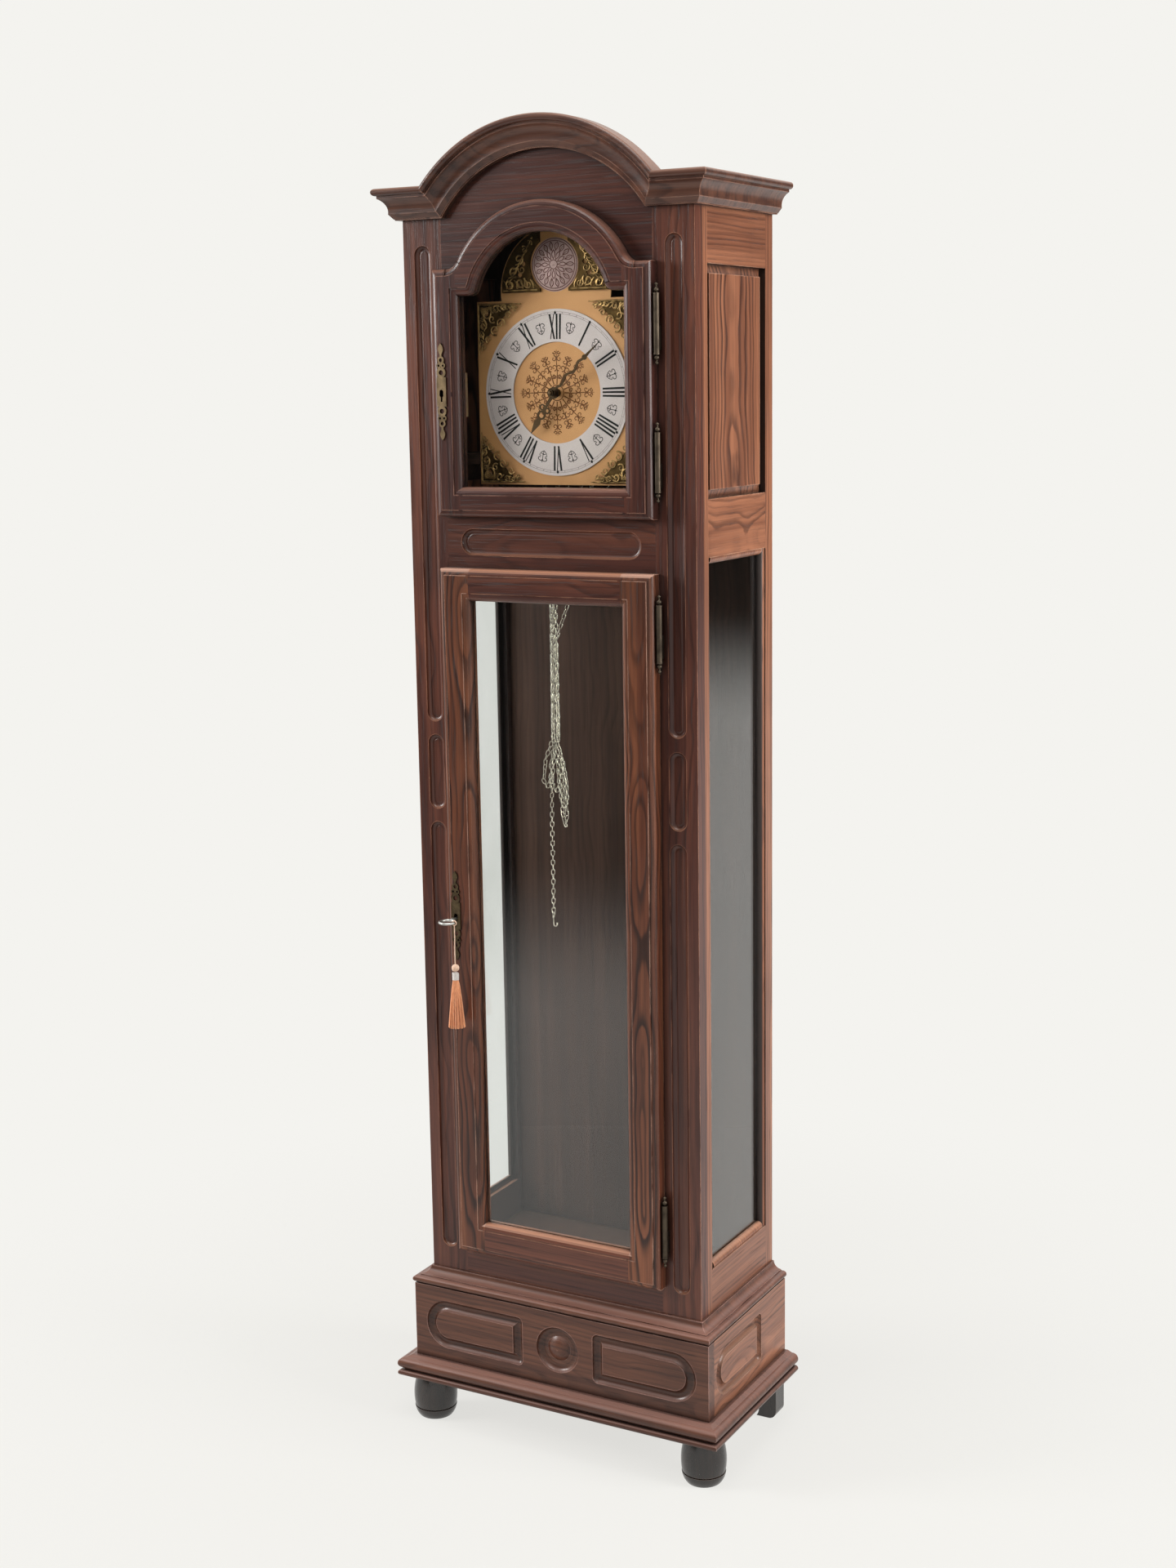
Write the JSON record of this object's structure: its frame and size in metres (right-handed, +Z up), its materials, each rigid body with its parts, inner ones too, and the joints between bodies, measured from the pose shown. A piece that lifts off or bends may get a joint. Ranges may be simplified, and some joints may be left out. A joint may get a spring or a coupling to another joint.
{
  "type": "longcase clock",
  "caption": "Tall arched longcase clock with glazed trunk and hood doors, brass dial, chain-driven movement, bun feet, key and tassel.",
  "frame": {"origin": "centre of the bottom of the bounding box, on the floor", "axes": "+X to the right seen from the front, +Y from the front to the back, +Z up"},
  "size_m": [0.5366, 0.304, 1.9009],
  "materials": {
    "oak_front": "stained and polished oak, dark reddish brown, lighter along worn edges",
    "oak_side": "stained oak, a little lighter",
    "feet_oak": "very dark stained and polished",
    "inner_board": "plain stained board",
    "clear_glass": "clear window glass",
    "antique_bronze": "antiqued brass castings",
    "polished_brass": "polished brass",
    "dial_gold": "matt gilt brass",
    "silvered_metal": "silvered brass ring, satin",
    "bright_steel": "plain bright steel",
    "tassel_thread": "twisted thread, peach orange"
  },
  "bodies": {
    "case": {"bun_feet": "feet_oak", "bracket_feet": "feet_oak", "base_moulding": "oak_front", "plinth_front": "oak_front", "plinth_sides": "oak_side", "waist_moulding": "oak_front", "front_stiles": "oak_front", "front_rails": "oak_front", "frieze_board": "oak_front", "side_stiles": "oak_side", "side_rails": "oak_side", "side_panels": "oak_side", "side_glass": "clear_glass", "side_glass_beads": "oak_side", "back_panel": "inner_board", "trunk_floor": "inner_board", "top_board": "inner_board", "cornice_arch": "oak_front", "cornice_straights": "oak_front", "case_hinge_halves": "antique_bronze", "dial_plate": "dial_gold", "chapter_ring": "silvered_metal", "spandrels": "antique_bronze", "arch_boss": "silvered_metal", "movement_plates": "polished_brass", "movement_pillars": "polished_brass", "seat_board": "inner_board", "gong_rods": "bright_steel", "chains": "bright_steel"},
    "hood_door": {"hood_door_stiles": "oak_front", "hood_door_sill": "oak_front", "hood_door_head": "oak_front", "hood_glass": "clear_glass", "hood_glass_beads": "oak_front", "hood_escutcheon": "antique_bronze", "hood_lock": "bright_steel", "hood_hinge_halves": "antique_bronze"},
    "hood_bolt": {"hood_bolt": "polished_brass"},
    "trunk_door": {"trunk_door_stiles": "oak_front", "trunk_door_rails": "oak_front", "trunk_glass": "clear_glass", "trunk_glass_beads": "oak_front", "trunk_escutcheon": "antique_bronze", "trunk_lock": "bright_steel", "trunk_hinge_halves": "antique_bronze"},
    "trunk_bolt": {"trunk_bolt": "polished_brass"},
    "door_key": {"door_key": "bright_steel"},
    "tassel": {"tassel_cord": "tassel_thread", "tassel": "tassel_thread"},
    "minute_hand": {"minute_hand": "antique_bronze", "hand_nut": "polished_brass", "centre_wheel": "polished_brass"},
    "hour_hand": {"hour_hand": "antique_bronze", "hour_wheel": "polished_brass"},
    "minute_wheel": {"minute_wheel": "polished_brass"},
    "time_chain_wheel": {"time_chain_wheel": "polished_brass"},
    "strike_chain_wheel": {"strike_chain_wheel": "polished_brass"},
    "chime_chain_wheel": {"chime_chain_wheel": "polished_brass"},
    "pendulum_leader": {"pendulum_leader": "bright_steel"},
    "strike_hammer": {"strike_hammer": "polished_brass"}
  },
  "joints": [
    {"name": "hood_door_swing", "type": "hinge", "parent": "case", "child": "hood_door", "pos_m": [0.174, -0.1043, 1.5365], "axis": [0, 0, 1], "range_deg": [0, 120]},
    {"name": "hood_bolt_slide", "type": "slide", "parent": "hood_door", "child": "hood_bolt", "axis": [-1, 0, 0], "range_m": [0, 0.008]},
    {"name": "trunk_door_swing", "type": "hinge", "parent": "case", "child": "trunk_door", "pos_m": [0.174, -0.1043, 0.792], "axis": [0, 0, 1], "range_deg": [0, 120]},
    {"name": "key_turn", "type": "hinge", "parent": "trunk_door", "child": "door_key", "pos_m": [-0.154, -0.1387, 0.792], "axis": [0, 1, 0], "range_deg": [0, 90]},
    {"name": "trunk_bolt_slide", "type": "slide", "parent": "trunk_door", "child": "trunk_bolt", "axis": [-1, 0, 0], "range_m": [0, 0.008]},
    {"name": "tassel_hang", "type": "hinge", "parent": "door_key", "child": "tassel", "pos_m": [-0.1427, -0.1387, 0.792], "axis": [0, 1, 0], "range_deg": [-90, 0]},
    {"name": "minute_turn", "type": "hinge", "parent": "case", "child": "minute_hand", "pos_m": [0, -0.079, 1.5375], "axis": [0, 1, 0], "continuous": true},
    {"name": "hour_turn", "type": "hinge", "parent": "case", "child": "hour_hand", "pos_m": [0, -0.073, 1.5375], "axis": [0, 1, 0], "continuous": true},
    {"name": "minute_wheel_turn", "type": "hinge", "parent": "case", "child": "minute_wheel", "pos_m": [-0.01273, -0.041, 1.52477], "axis": [0, 1, 0], "continuous": true},
    {"name": "time_chain_wheel_turn", "type": "hinge", "parent": "case", "child": "time_chain_wheel", "pos_m": [0, -0.00525, 1.49], "axis": [0, 1, 0], "continuous": true},
    {"name": "strike_chain_wheel_turn", "type": "hinge", "parent": "case", "child": "strike_chain_wheel", "pos_m": [-0.048, -0.00525, 1.49], "axis": [0, 1, 0], "continuous": true},
    {"name": "chime_chain_wheel_turn", "type": "hinge", "parent": "case", "child": "chime_chain_wheel", "pos_m": [0.048, -0.00525, 1.49], "axis": [0, 1, 0], "continuous": true},
    {"name": "pendulum_leader_swing", "type": "hinge", "parent": "case", "child": "pendulum_leader", "pos_m": [0, 0.0315, 1.632], "axis": [0, 1, 0], "range_deg": [-4, 4]},
    {"name": "strike_hammer_lift", "type": "hinge", "parent": "case", "child": "strike_hammer", "pos_m": [0.05, 0.0355, 1.56], "axis": [1, 0, 0], "range_deg": [0, 20]}
  ],
  "couplings": [
    {"joint": "trunk_bolt_slide", "follows": "key_turn", "m_per_rad": 0.005093},
    {"joint": "tassel_hang", "follows": "key_turn", "ratio": -1},
    {"joint": "hour_turn", "follows": "minute_turn", "ratio": 0.083333},
    {"joint": "minute_wheel_turn", "follows": "minute_turn", "ratio": -0.33333},
    {"joint": "time_chain_wheel_turn", "follows": "minute_turn", "ratio": -0.16667}
  ]
}
